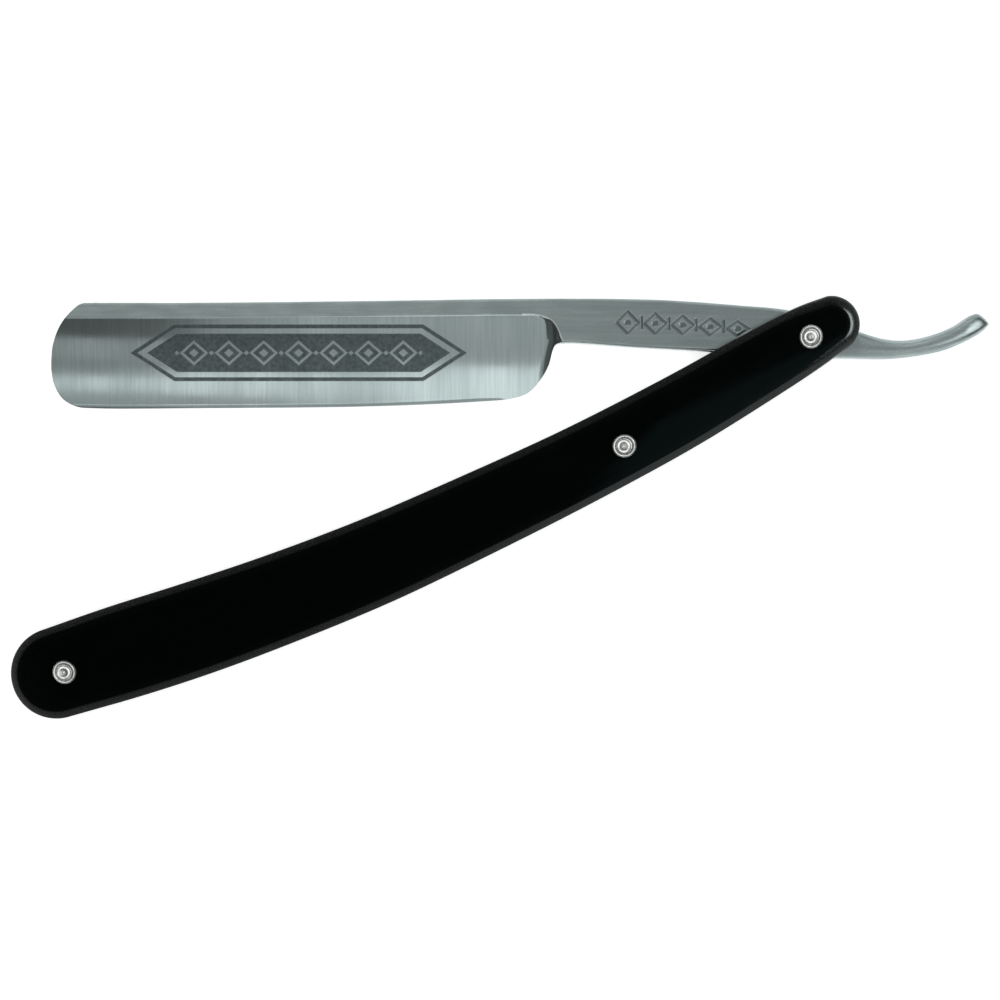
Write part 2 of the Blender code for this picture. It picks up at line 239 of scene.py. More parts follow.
# The rim leans this much less than the middle.
RIM_LEAN_LOSS = 0.35
HEAD_MARGIN = 0.01
WASHER_RADIUS = 1.93
WASHER_FLOOR = 0.22
WASHER_CREST = 0.52
WASHER_SHOULDER = 0.28
CREST_OUTER_RADIUS = 1.74
CREST_INNER_RADIUS = 1.46
CREST_FALL = 0.03
WASHER_GROOVE_RADIUS = 1.3
WASHER_ROUNDING = 0.16
WASHER_OUT_OF_ROUND = 0.045
# The direction in which each pin's washers stayed widest, in degrees.
WASHER_LOBES = {"pivot": 60.0, "middle": 20.0, "wedge": -40.0}
WASHER_SEAT_GAP = 0.08
TANG_WASHER_RADIUS = 2.3
TANG_WASHER_THICKNESS = 0.22
TANG_WASHER_ROUNDING = 0.05
TURNED_STEPS = 96
DRILL_LENGTH = 20.0
DRILL_SIDES = 48

# ---------------------------------------------------------------- meshes
MERGE_DISTANCE = 0.0005
SHARP_ANGLE_DEG = 32.0
# The most of a profile's side that a rounded corner may take.
ROUNDING_SHARE = 0.45

# ---------------------------------------------------------------- camera and table, metres
VIEW_WIDTH = 0.160
LENS = 120.0
SENSOR = 36.0
SUBJECT_HEIGHT = 0.008
VIEW_MIDDLE = Vector((-0.0495, -0.0260, 0))
CAMERA_PLACE = PIVOT + VIEW_MIDDLE
CAMERA_PLACE.z = SUBJECT_HEIGHT + VIEW_WIDTH * LENS / SENSOR
TABLE_HALF = 1.5

# ---------------------------------------------------------------- stage, millimetres from under the camera
TABLE_GLOW = 0.66
# The room by direction: from and to of the direction's part, then the strength or share at each.
ROOM_OVERHEAD = (0.975, 0.9, 0.005, 0.12)
ROOM_LEFT = (-0.1, -0.35, 1.0, 0.7)
ROOM_LOW = (0.45, 0.1, 0.0, 0.22)
ROOM_FRONT = (-1.2, 0.6, 0.3, 1.0)
CARD_HEIGHT = 550.0
# Level cards that only the steel sees: middle, size (width, depth) and radiance.
STEEL_CARDS = {
    "spine_card": ((-110.0, 87.0), (260.0, 146.0), 0.6),
    "tang_card": ((120.0, 87.0), (200.0, 146.0), 0.31),
    "back_card": ((0.0, 410.0), (560.0, 500.0), 0.6),
    "toe_strip": ((-160.0, -14.0), (100.0, 42.0), 1.5),
    "middle_strip": ((-75.0, -27.0), (70.0, 70.0), 1.4),
    "middle_fill": ((-73.0, -78.5), (66.0, 33.0), 0.62),
    "heel_strip": ((10.0, -52.0), (100.0, 87.0), 1.65),
    "toe_fill": ((-155.0, -61.0), (100.0, 52.0), 0.42),
    "toe_card": ((-155.0, -134.0), (100.0, 92.0), 0.56),
    "toe_shade": ((-155.0, -290.0), (100.0, 220.0), 0.04),
    "heel_card": ((-3.0, -245.0), (206.0, 300.0), 0.62),
    "tail_card": ((250.0, -340.0), (300.0, 640.0), 0.56),
    "left_card": ((-330.0, -200.0), (250.0, 400.0), 0.09),
}
# Upright cards that only the steel sees, for its rounded edges: place, size and radiance.
STEEL_WALLS = {
    "back_wall": ((0.0, 800.0, 350.0), (700.0, 1200.0), 0.6),
    "front_wall": ((100.0, -800.0, 350.0), (700.0, 1200.0), 0.6),
    "tip_box": ((420.0, 20.0, 560.0), (300.0, 300.0), 2.4),
}
# Low at the right front, so that the lower bevel mirrors it near the pivot and less towards the wedge.
BEVEL_CARD_PLACE = (270.0, -270.0, 90.0)
BEVEL_CARD_SIZE = (130.0, 260.0)
BEVEL_CARD_RADIANCE = 0.8
BEVEL_CARD_TINT = "#e2f1f1"
GLINT_BOX_PLACE = (560.0, 90.0, 800.0)
GLINT_BOX_SIZE = (420.0, 520.0)
GLINT_BOX_RADIANCE = 13.0
GLINT_BOX_TINT = "#e0efed"
SHEEN_CARD_PLACE = (110.0, -5.0, CARD_HEIGHT)
SHEEN_CARD_SIZE = (110.0, 80.0)
SHEEN_CARD_RADIANCE = 0.13
SHEEN_CARD_TINT = "#bdf2f2"
PIN_CARD_PLACE = (0.0, 0.0, CARD_HEIGHT)
PIN_CARD_SIZE = (520.0, 420.0)
PIN_CARD_RADIANCE = 1.7
TABLE_LIGHT_PLACE = (0.0, 0.0, 1200.0)
TABLE_LIGHT_SIZE = (600.0, 600.0)
TABLE_LIGHT_RADIANCE = 6.5


# ================================================================ curves
def blend(a, b, low, high, t):
    """Go from a at low to b at high."""
    return a + (b - a) * (t - low) / (high - low)


def smooth_curve(points, samples=24):
    """Read a centripetal Catmull-Rom curve through the points."""
    given = np.array(points, dtype=float)
    padded = np.vstack([2 * given[0] - given[1], given, 2 * given[-1] - given[-2]])
    read = []
    for before, start, end, after in zip(padded, padded[1:], padded[2:], padded[3:]):
        knots = [0.0]
        for a, b in ((before, start), (start, end), (end, after)):
            knots.append(knots[-1] + math.sqrt(np.linalg.norm(b - a)))
        for t in np.linspace(knots[1], knots[2], samples, endpoint=False):
            a1 = blend(before, start, knots[0], knots[1], t)
            a2 = blend(start, end, knots[1], knots[2], t)
            a3 = blend(end, after, knots[2], knots[3], t)
            b1 = blend(a1, a2, knots[0], knots[2], t)
            b2 = blend(a2, a3, knots[1], knots[3], t)
            read.append(blend(b1, b2, knots[1], knots[2], t))
    read.append(given[-1])
    return np.array(read)


def smooth_step(t):
    """Ease from 0 to 1."""
    t = np.clip(t, 0.0, 1.0)
    return t * t * (3 - 2 * t)


def along(x, pairs):
    """Read a straight-line table at x."""
    return float(np.interp(x, *np.transpose(pairs)))


# ================================================================ meshes
def mesh_object(name, vertices, faces):
    """Make a smooth-shaded closed mesh object from vertices in millimetres; points that meet are merged."""
    mesh = bpy.data.meshes.new(name)
    mesh.from_pydata([tuple(v) for v in np.asarray(vertices) * MM], [], faces)
    bm = bmesh.new()
    bm.from_mesh(mesh)
    bmesh.ops.remove_doubles(bm, verts=bm.verts, dist=MERGE_DISTANCE * MM)
    bmesh.ops.dissolve_degenerate(bm, edges=bm.edges, dist=MERGE_DISTANCE * MM)
    bmesh.ops.recalc_face_normals(bm, faces=bm.faces)
    bm.to_mesh(mesh)
    bm.free()
    mesh.shade_smooth()
    mesh.set_sharp_from_angle(angle=math.radians(SHARP_ANGLE_DEG))
    thing = bpy.data.objects.new(name, mesh)
    bpy.context.scene.collection.objects.link(thing)
    return thing


def ring_faces(ring_count, ring_size):
    """Give the quads between a stack of closed rings."""
    faces = []
    for row in range(ring_count - 1):
        for i in range(ring_size):
            j = (i + 1) % ring_size
            low = row * ring_size
            faces.append((low + i, low + j, low + ring_size + j, low + ring_size + i))
    return faces


def strip_faces(start, ring_size):
    """Close a ring with strips from its first half to its second half."""
    faces = []
    for i in range(ring_size // 2 - 1):
        faces.append((start + i, start + i + 1, start + ring_size - 2 - i, start + ring_size - 1 - i))
    return faces


def skin(name, rings):
    """Skin a stack of equal rings and close both ends."""
    count, size = len(rings), len(rings[0])
    faces = ring_faces(count, size) + strip_faces(0, size) + strip_faces((count - 1) * size, size)
    return mesh_object(name, np.vstack(rings), faces)


def turned(name, profile, closed):
    """Turn a profile of (radius, height) points about Z."""
    profile = np.array(profile, dtype=float)
    rings = []
    for turn in np.linspace(0, 2 * math.pi, TURNED_STEPS, endpoint=False):
        radius, height = np.transpose(profile)
        rings.append(np.column_stack([radius * math.cos(turn), radius * math.sin(turn), height]))
    size = len(profile)
    steps = range(size if closed else size - 1)
    faces = []
    for row in range(TURNED_STEPS):
        here = row * size
        there = ((row + 1) % TURNED_STEPS) * size
        faces.extend((here + i, there + i, there + (i + 1) % size, here + (i + 1) % size) for i in steps)
    return mesh_object(name, np.vstack(rings), faces)


def rounded(profile, radius, steps=4):
    """Round the inner corners of an open profile of (radius, height) points."""
    points = [np.array(p, dtype=float) for p in profile]
    out = [points[0]]
    for before, corner, after in zip(points, points[1:], points[2:]):
        to_before = before - corner
        to_after = after - corner
        shorter = min(np.linalg.norm(to_before), np.linalg.norm(to_after))
        reach = min(radius, ROUNDING_SHARE * shorter)
        start = corner + to_before / np.linalg.norm(to_before) * reach
        end = corner + to_after / np.linalg.norm(to_after) * reach
        for t in np.linspace(0, 1, steps + 1):
            out.append((1 - t) ** 2 * start + 2 * t * (1 - t) * corner + t * t * end)
    out.append(points[-1])
    return out


# ================================================================ blade
def hollow_half(x, y, full, wear):
    """Give half the thickness of the hollow-ground steel at a place below the spine band."""
    nominal_edge = along(x, blade_bottom)
    if x > HEEL_START:
        nominal_edge = min(nominal_edge, HEEL_EDGE_LEVEL)
    if x < NOSE_START:
        nominal_edge = EDGE_AT_TOE
    band_end = along(min(x, HEEL_TURN), blade_crease) - wear
    share = np.clip((band_end - y) / (band_end - nominal_edge), 0, 1)
    straight = along(x, STRAIGHT_SHARE)
    curve = (1 - straight) * (1 - share) ** HOLLOW_POWER + straight * (1 - share)
    ground = HOLLOW_EDGE_HALF + (full - HOLLOW_EDGE_HALF) * curve
    shoulder_y = np.clip(y, blade_crease[-1][1], SHOULDER_TOP)
    shoulder_x = np.interp(-shoulder_y, -shoulder_side[:, 1], shoulder_side[:, 0])
    depth = np.maximum(full - ground, 0)
    reach = np.sqrt(2 * SHOULDER_RADIUS * depth) + SHOULDER_LEAST_REACH
    half = ground + depth * (1 - np.clip((shoulder_x - x) / reach, 0, 1)) ** 2
    if x < HONED_END:
        above_edge = y - nominal_edge
        honed = HONED_EDGE_HALF + above_edge * (HOLLOW_EDGE_HALF - HONED_EDGE_HALF) / HONED_BEVEL
        half = np.minimum(half, np.maximum(honed, HONED_EDGE_HALF))
    return half


def blade_side(x):
    """Give (y, z) down one side of the blade, from the top of the spine to the edge."""
    top = along(x, blade_top)
    bottom = along(x, blade_bottom)
    at_nose = x < NOSE_START
    spine = SPINE_AT_TOE if at_nose else top
    edge = EDGE_AT_TOE if at_nose else bottom
    full = along(x, HALF_THICKNESS)
    past = (x - (TAIL_END - TAIL_TIP_ROUND)) / TAIL_TIP_ROUND
    if past > 0:
        full *= math.sqrt(max(1 - past * past, TAIL_TIP_LEAST))
    radius = min(along(x, CORNER_RADIUS), CORNER_OF_HEIGHT * (spine - edge), CORNER_OF_HALF * full)
    turn = np.linspace(0, math.pi / 2, CORNER_STEPS, endpoint=False)
    corner_y = spine - radius * (1 - np.cos(turn))
    corner_z = full - radius + radius * np.sin(turn)
    hollow_end = blade_crease[-1][0]
    crease = along(x, blade_crease) if x < hollow_end else edge + radius
    flat_y = np.linspace(spine - radius, crease, FLAT_STEPS)
    taper = BAND_TAPER * smooth_step((hollow_end - x) / BAND_TAPER_RUN)
    flat_z = full - taper * (flat_y - crease)
    corner_z = corner_z - taper * (corner_y - crease)
    share = np.linspace(0, 1, HOLLOW_STEPS)
    wear = along(x, WEAR_WIDTH)
    low_y = crease - wear + (edge - crease + wear) * share
    hollow_z = hollow_half(x, low_y, full - WEAR_SLOPE * wear, wear)
    round_turn = share * math.pi / 2
    round_y = crease + (edge - crease) * np.sin(round_turn)
    round_z = full - radius * (1 - np.cos(round_turn))
    tang = float(smooth_step((x - hollow_end + TANG_BLEND) / TANG_BLEND))
    low_y = low_y + (round_y - low_y) * tang
    low_z = hollow_z + (round_z - hollow_z) * tang
    y = np.concatenate([corner_y, flat_y, low_y])
    z = np.concatenate([corner_z, flat_z, low_z])
    middle, half_height = (spine + edge) / 2, (spine - edge) / 2
    z = z * (1 - along(x, TAIL_CROWN) * ((y - middle) / half_height) ** 2)
    if at_nose:
        cut = np.clip(y, bottom, top)
        z = np.interp(-cut, -y, z)
        y = cut
    return y, z


def stamp_depth(x, y):
    """Give how deep the tang's ornament is pressed at a place."""
    depth = np.zeros_like(y)
    for step in range(STAMP_COUNT):
        centre = STAMP_MIDDLE + (step - (STAMP_COUNT - 1) / 2) * STAMP_PITCH
        lift = along(centre, blade_top) / 2 + along(centre, blade_bottom) / 2
        across = np.abs(x - centre)
        up = np.abs(y - lift)
        size = STAMP_HALF_HEIGHT * (1 - STAMP_SHRINK * abs(step))
        diamond = (across / STAMP_HALF_LENGTH + up / size - 1) * size * STAMP_SLANT
        line = 1 - smooth_step((np.abs(diamond) - STAMP_LINE / 2) / STAMP_SOFTNESS)
        dot = 1 - smooth_step((np.hypot(across, up) - STAMP_DOT) / STAMP_SOFTNESS)
        from_bar = np.maximum(np.abs(x - centre - STAMP_PITCH / 2), up - STAMP_BAR_HALF_HEIGHT)
        link = 1 - smooth_step((from_bar - STAMP_LINE / 2) / STAMP_SOFTNESS)
        if step == STAMP_COUNT - 1:
            link = 0
        depth = np.maximum(depth, STAMP_DEPTH * np.maximum(np.maximum(line, dot), link))
    return depth


def make_blade():
    """Make the blade, tang and tail as one fine closed mesh."""
    rings = []
    stations = []
    for start, stop, spacing in BLADE_STRETCHES:
        stations.extend(np.linspace(start, stop, max(2, round((stop - start) / spacing)), endpoint=False))
    stations.append(TAIL_END)
    for x in stations:
        y, z = blade_side(x)
        front_z = z - stamp_depth(x, y) if STAMP_START < x < STAMP_END else z
        front = np.column_stack([np.full_like(y, x), y, front_z])
        rear = np.column_stack([np.full_like(y, x), y, -z])[::-1]
        rings.append(np.vstack([front, rear]))
    blade = skin("blade_steel", rings)
    blade.location = PIVOT
    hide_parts("blade")
    drill(blade, ("pivot",))
    mark_finishes(blade.data)
    return blade


def mark_finishes(mesh):
    """Store what is hollow-ground, where the crease's painted highlight lies and how deep the stamp is, each
    from 0 to 1.
    """
    hollow = mesh.attributes.new("hollow", "FLOAT", "POINT")
    painted_crease_highlight = mesh.attributes.new("painted_crease_highlight", "FLOAT", "POINT")
    stamped = mesh.attributes.new("stamped", "FLOAT", "POINT")
    last_x = blade_crease[-1][0]
    for index, vertex in enumerate(mesh.vertices):
        x, y, z = vertex.co / MM
        hollow.data[index].value = float(x < last_x and y < along(x, blade_crease) - HOLLOW_MARGIN)
        # Painted highlight: points near the shoulder's crease get a share of it.
        if HEEL_TURN < x < last_x + CREASE_HIGHLIGHT_PAST_CREASE:
            to_crease = np.hypot(shoulder_side[:, 0] - x, shoulder_side[:, 1] - y).min()
            fade = smooth_step((to_crease - CREASE_HIGHLIGHT_HALF_WIDTH) / CREASE_HIGHLIGHT_FADE)
            painted_crease_highlight.data[index].value = float(1 - fade)
        if STAMP_START < x < STAMP_END and z > 0:
            stamped.data[index].value = float(stamp_depth(x, np.array([y]))[0]) / STAMP_DEPTH


# ================================================================ handle
def half_gap(x):
    """Give half the space between the bowed scales at a place along the handle."""
    share = -x / PIN_SPAN
    return (PIVOT_GAP + (WEDGE_GAP - PIVOT_GAP) * share + BOW * 4 * share * (1 - share)) / 2


def arc_points(end, start_deg, stop_deg):
    """Give points on a rounded end from one angle to another."""
    angles = np.radians(np.linspace(start_deg, stop_deg, ARC_STEPS))
    circle = np.column_stack([np.cos(angles), np.sin(angles)])
    return np.array(end["centre"]) + end["radius"] * circle


def scale_edge(side):
    """Give the lower (1) or upper (2) edge of a scale from the wedge end's tip to the pivot end's tip."""
    edge_name = ("lower_deg", "upper_deg")[side - 1]
    sign = (1, -1)[side - 1]
    tip_step = sign * 90 / ARC_STEPS / 2
    wedge_arc = arc_points(WEDGE_END, 180 + tip_step, WEDGE_END[edge_name])
    pivot_arc = arc_points(PIVOT_END, PIVOT_END[edge_name], -tip_step)
    through = [wedge_arc[-1]] + [(row[0], row[side]) for row in SCALE_EDGES] + [pivot_arc[0]]
    curve = smooth_curve(through)
    run = np.linspace(curve[0][0], curve[-1][0], EDGE_STEPS + 2)[1:-1]
    side_run = np.column_stack([run, np.interp(run, curve[:, 0], curve[:, 1])])
    return np.vstack([wedge_arc, side_run, pivot_arc])


def inset(outline, distance):
    """Move each point of an anticlockwise outline inward along its normal."""
    tangent = np.roll(outline, -1, axis=0) - np.roll(outline, 1, axis=0)
    tangent /= np.linalg.norm(tangent, axis=1)[:, None]
    inward = np.column_stack([-tangent[:, 1], tangent[:, 0]])
    return outline + distance * inward


def bevel_profile(softness):
    """Give (inset, height) up a scale's edge: inner break, wall, bevel and the start of the face."""
    face = SCALE_THICKNESS - CROWN_RISE
    corners = [
        (SCALE_INNER_BREAK, 0.0),
        (0.0, SCALE_INNER_BREAK),
        (0.0, face - BEVEL_RISE),
        (BEVEL_WIDTH, face - BEVEL_LIP),
        (BEVEL_WIDTH + FACE_EASE, face),
    ]
    return np.array(rounded(corners, softness, BEVEL_STEPS))


def make_scale(side, facing):
    """Make a bowed scale with a bevelled edge and a slightly crowned face."""
    outline = inset(np.vstack([scale_edge(1), scale_edge(2)[::-1]]), SCALE_TRIM)
    rings = []
    # The bevel's inner line is crisp along the handle and buffed soft round the pivot end.
    soft = smooth_step((outline[:, 0] - SOFT_START) / (SOFT_END - SOFT_START))[:, None]
    for crisp, buffed in zip(bevel_profile(BEVEL_CRISP), bevel_profile(BEVEL_BUFFED)):
        distance, height = np.transpose(crisp + (buffed - crisp) * soft)
        ring = inset(outline, distance[:, None])
        rings.append(np.column_stack([ring, facing * (half_gap(ring[:, 0]) + height)]))
    last = ring
    opposite = last[::-1]
    middle = (last + opposite) / 2
    half_width = np.linalg.norm(last - middle, axis=1)
    widest = half_width.max()
    for step in range(1, CROWN_STEPS):
        share = step / CROWN_STEPS
        ring = last + (middle - last) * share
        crown = CROWN_RISE * (half_width / widest) ** 2 * (1 - (1 - share) ** 2)
        rings.append(np.column_stack([ring, facing * (half_gap(ring[:, 0]) + height + crown)]))
    scale = skin(f"{side}_scale_shell", rings)
    place_on_handle(scale)
    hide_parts(f"{side}_scale")
    drill(scale, PINS)
    mark_sanded(scale.data)
    return scale


def mark_sanded(mesh):
    """Store 0 on a scale's buffed face and 1 on its bevel, its inner side and the wedge, for the finish."""
    layer = mesh.attributes.new("sanded", "FLOAT", "POINT")
    back = Matrix.Rotation(-HANDLE_SLANT, 3, "Z")
    for vertex, value in zip(mesh.vertices, layer.data):
        x, _, z = (back @ vertex.co) / MM
        below_face = SCALE_THICKNESS - CROWN_RISE - (abs(z) - half_gap(x))
        value.value = float(np.clip(below_face / SANDED_DROP, 0, 1))


def make_wedge():
    """Make the tapered spacer between the scales."""
    edges = []
    for side in (1, 2):
        edge = scale_edge(side)
        kept = edge[edge[:, 0] < WEDGE_INNER_END]
        last = (WEDGE_INNER_END, np.interp(WEDGE_INNER_END, edge[ARC_STEPS:, 0], edge[ARC_STEPS:, 1]))
        edges.append(np.vstack([kept, last]))
    outline = np.vstack([edges[0], edges[1][::-1]])
    rings = []
    # Both faces have a small break at their edge, and the rings run from the rear face to the front one.
    for side, distance in ((-1, WEDGE_BREAK), (-1, 0), (1, 0), (1, WEDGE_BREAK)):
        drop = WEDGE_BREAK - distance
        ring = inset(outline, WEDGE_INSET + distance)
        rings.append(np.column_stack([ring, side * (half_gap(ring[:, 0]) - FIT_GAP - drop)]))
    wedge = skin("wedge_spacer", rings)
    place_on_handle(wedge)
    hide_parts("wedge")
    drill(wedge, ("wedge",))
    mark_sanded(wedge.data)
    return wedge


def place_on_handle(thing):
    """Put a piece that is drawn in the handle's frame where the handle is."""
    thing.data.transform(Matrix.Rotation(HANDLE_SLANT, 4, "Z"))
    thing.location = PIVOT


def drill(thing, pins):
    """Cut the pin holes out of a piece."""
    bm = bmesh.new()
    for pin in pins:
        made = bmesh.ops.create_cone(bm, cap_ends=True, segments=DRILL_SIDES, radius1=HOLE_RADIUS * MM,
                                     radius2=HOLE_RADIUS * MM, depth=DRILL_LENGTH * MM)
        bmesh.ops.translate(bm, verts=made["verts"], vec=node_centre(f"{pin}_pin"))
    guide_mesh = bpy.data.meshes.new("hole_guide")
    bm.to_mesh(guide_mesh)
    bm.free()
    guide = bpy.data.objects.new("hole_guide", guide_mesh)
    bpy.context.scene.collection.objects.link(guide)
    cut = thing.modifiers.new("pin_holes", "BOOLEAN")
    cut.operation = "DIFFERENCE"
    cut.solver = "EXACT"
    cut.object = guide
    bpy.context.view_layer.update()
    drilled = bpy.data.meshes.new_from_object(thing.evaluated_get(bpy.context.evaluated_depsgraph_get()))
    thing.modifiers.clear()
    thing.data = drilled
    bpy.data.objects.remove(guide, do_unlink=True)


# ================================================================ pins and washers
def seat_height(pin):
    """Give the height of a cup washer's underside above the handle's middle plane."""
    place = (node_centre(f"{pin}_pin") - node_centre("pivot_pin")).length / MM
    return half_gap(-place) + SCALE_THICKNESS + WASHER_SEAT_GAP


def make_cup_washer(pin, side, facing):
    """Make a cup washer: a rounded raised rim that falls to a sunk floor."""
    bore_middle = (HOLE_RADIUS, WASHER_FLOOR / 2)
    profile = rounded([
        bore_middle, (HOLE_RADIUS, 0), (WASHER_RADIUS, 0), (WASHER_RADIUS, WASHER_SHOULDER),
        (CREST_OUTER_RADIUS, WASHER_CREST), (CREST_INNER_RADIUS, WASHER_CREST - CREST_FALL),
        (WASHER_GROOVE_RADIUS, WASHER_FLOOR), (HOLE_RADIUS, WASHER_FLOOR), bore_middle,
    ], WASHER_ROUNDING)[:-1]
    washer = turned(f"{pin}_cup_{side}", profile, closed=True)
    press_out_of_round(washer.data, WASHER_LOBES[pin])
    low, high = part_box(f"{pin}_washer_{side}")
    washer.location = ((low.x + high.x) / 2, (low.y + high.y) / 2, low.z if facing > 0 else high.z)
    washer.rotation_euler.x = 0 if facing > 0 else math.pi
    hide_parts(f"{pin}_washer_{side}")
    return washer


def press_out_of_round(mesh, lobe_deg):
    """Narrow a washer a little across one direction, as the press and the hammer left it."""
    for vertex in mesh.vertices:
        turn = math.atan2(vertex.co.y, vertex.co.x) - math.radians(lobe_deg)
        narrowing = 1 - WASHER_OUT_OF_ROUND * math.sin(turn) ** 2
        vertex.co.x *= narrowing
        vertex.co.y *= narrowing


def make_pin(pin):
    """Make a pin with a peened head at each end; the peening leaves each lip a little off centre."""
    base = seat_height(pin) + WASHER_FLOOR + FIT_GAP
    top = base + HEAD_HEIGHT
    dimple = top - HEAD_DIMPLE_DEPTH
    nub = dimple + HEAD_NUB_HEIGHT
    half = rounded([
        (PIN_RADIUS, 0), (PIN_RADIUS, base), (HEAD_RADIUS, base), (HEAD_RADIUS, base + HEAD_HEIGHT / 2),
        (HEAD_RADIUS - HEAD_SLOPE, top), (HEAD_DIMPLE_RADIUS, top), (HEAD_NUB_RADIUS, dimple),
        (HEAD_NUB_RADIUS - HEAD_SLOPE, nub), (0, nub),
    ], HEAD_ROUNDING)
    lower = [(radius, -height) for radius, height in reversed(half)]
    stud = turned(f"{pin}_stud", lower[:-1] + list(half[1:]), closed=False)
    for vertex in stud.data.vertices:
        if abs(vertex.co.z) > (base - HEAD_MARGIN) * MM:
            lean = 1 - min(math.hypot(vertex.co.x, vertex.co.y) / (HEAD_RADIUS * MM), 1) * RIM_LEAN_LOSS
            vertex.co.x += HEAD_LEAN[0] * lean * MM
            vertex.co.y += HEAD_LEAN[1] * lean * MM
    stud.location = node_centre(f"{pin}_pin")
    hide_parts(f"{pin}_pin")
    return stud


def make_tang_washer(side):
    """Make the thin washer between the tang and a scale."""
    half = TANG_WASHER_THICKNESS / 2
    profile = rounded([
        (HOLE_RADIUS, 0), (HOLE_RADIUS, -half), (TANG_WASHER_RADIUS, -half), (TANG_WASHER_RADIUS, half),
        (HOLE_RADIUS, half), (HOLE_RADIUS, 0),
    ], TANG_WASHER_ROUNDING)[:-1]
    washer = turned(f"tang_shim_{side}", profile, closed=True)
    washer.location = node_centre(f"tang_washer_{side}")
    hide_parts(f"tang_washer_{side}")
    return washer


# ================================================================ materials
def linear(hex_colour):
    """Turn an sRGB hex colour into the linear colour that a shader takes."""
    parts = [int(hex_colour[i:i + 2], 16) / 255 for i in (1, 3, 5)]
    return tuple(p / 12.92 if p <= 0.04045 else ((p + 0.055) / 1.055) ** 2.4 for p in parts) + (1.0,)


def new_material(name):
    """Make a material and give it with its tree and its shader."""
    material = bpy.data.materials.new(name)
    material.use_nodes = True
    tree = material.node_tree
    return material, tree, tree.nodes["Principled BSDF"]


def add(tree, kind, inputs=(), output=0, **settings):
    """Add a node with its settings, set or link its inputs by number or name, and give an output."""
    node = tree.nodes.new(f"ShaderNode{kind}")
    for key, value in settings.items():
        setattr(node, key, value)
    for key, value in dict(inputs if isinstance(inputs, dict) else enumerate(inputs)).items():
        if isinstance(value, bpy.types.NodeSocket):
            tree.links.new(value, node.inputs[key])
        else:
            node.inputs[key].default_value = value
    return node.outputs[output]


def grain(tree, place, per_mm, detail=3.0, roughness=0.5):
    """Give a random grain with a chosen number of cells to the millimetre along each axis."""
    cells = tuple(count / MM for count in per_mm)
    stretched = add(tree, "VectorMath", (place, cells), operation="MULTIPLY")
    shape = {"Vector": stretched, "Scale": 1.0, "Detail": detail, "Roughness": roughness}
    return add(tree, "TexNoise", shape)


def ground_steel():
    """Carbon steel, hollow ground and glazed: cool satin grey, with fine wheel marks from spine to edge on
    the hollows, lengthwise polishing on the spine and tang, and a darker, duller panel etched with acid."""
    material, tree, shader = new_material("ground_carbon_steel")
    place = add(tree, "TexCoord", output="Object")
    hollow = add(tree, "Attribute", output="Fac", attribute_name="hollow")
    # Wheel marks are about 0.1 mm apart; they are drawn 0.4 mm apart so that they show.
    wheel = grain(tree, place, (2.5, 0.1, 0.1), 2.0, 0.45)
    # Broad waves where the grinder's hand moved on, some 6 mm apart.
    waves = grain(tree, place, (0.16, 0.05, 0.05), 2.0)
    # Lengthwise polish on the flats, with smudges of 2 to 4 mm left by years of wiping.
    polish = grain(tree, place, (0.12, 2.0, 2.0), 1.0, 0.4)
    mottle = grain(tree, place, (0.22, 0.55, 0.55), 1.0, 0.4)
    marks = add(tree, "Mix", {0: hollow, 2: polish, 3: wheel})
    cloud = add(tree, "Mix", {0: hollow, 2: mottle, 3: waves})
    panel = etched_panel(tree, place)
    glaze = add(tree, "MapRange", (marks, 0.3, 0.7))
    colour = add(tree, "Mix", {0: glaze, 6: linear("#9ca9a9"), 7: linear("#a8b4b3")}, 2, data_type="RGBA")
    shaded = add(tree, "MapRange", (cloud, 0.35, 0.68, 0.0, 0.4))
    colour = add(tree, "Mix", {0: shaded, 6: colour, 7: linear("#869594")}, 2, data_type="RGBA")
    colour = add(tree, "Mix", {0: panel, 6: colour, 7: linear("#4c5658")}, 2, data_type="RGBA")
    # Painted highlight: the shoulder's crease is painted brighter than the steel round it.
    painted_crease_highlight = add(tree, "Attribute", output="Fac", attribute_name="painted_crease_highlight")
    bright = add(tree, "Math", (painted_crease_highlight, 0.7), operation="MULTIPLY")
    colour = add(tree, "Mix", {0: bright, 6: colour, 7: linear("#dfe6e5")}, 2, data_type="RGBA")
    # Painted shade: the stamped lines are painted darker the deeper they are pressed.
    stamped = add(tree, "Attribute", output="Fac", attribute_name="stamped")
    painted_stamp_shade = add(tree, "Math", (stamped, 0.55), operation="MULTIPLY")
    colour = add(tree, "Mix", {0: painted_stamp_shade, 6: colour, 7: linear("#3a4244")}, 2, data_type="RGBA")
    # The hollows are glazed finer than the flats, and the etching is dull.
    roughness = add(tree, "Mix", {0: hollow, 2: 0.27, 3: 0.12})
    smudged = add(tree, "MapRange", (cloud, 0.3, 0.7, -0.02, 0.03))
    roughness = add(tree, "Math", (roughness, smudged), operation="ADD")
    roughness = add(tree, "Mix", {0: panel, 2: roughness, 3: 0.42})
    # Marks stand higher on the hollows, and the acid has sunk the panel.
    relief = add(tree, "Mix", {0: hollow, 2: 0.25, 3: 0.5})
    height = add(tree, "Math", (marks, relief), operation="MULTIPLY")
    height = add(tree, "Math", (height, panel), operation="SUBTRACT")
    bump = add(tree, "Bump", {"Strength": 0.5, "Distance": 0.0016 * MM, "Height": height})
    shader.inputs["Metallic"].default_value = 1.0
    tree.links.new(colour, shader.inputs["Base Color"])
    tree.links.new(roughness, shader.inputs["Roughness"])
    tree.links.new(bump, shader.inputs["Normal"])
    return material


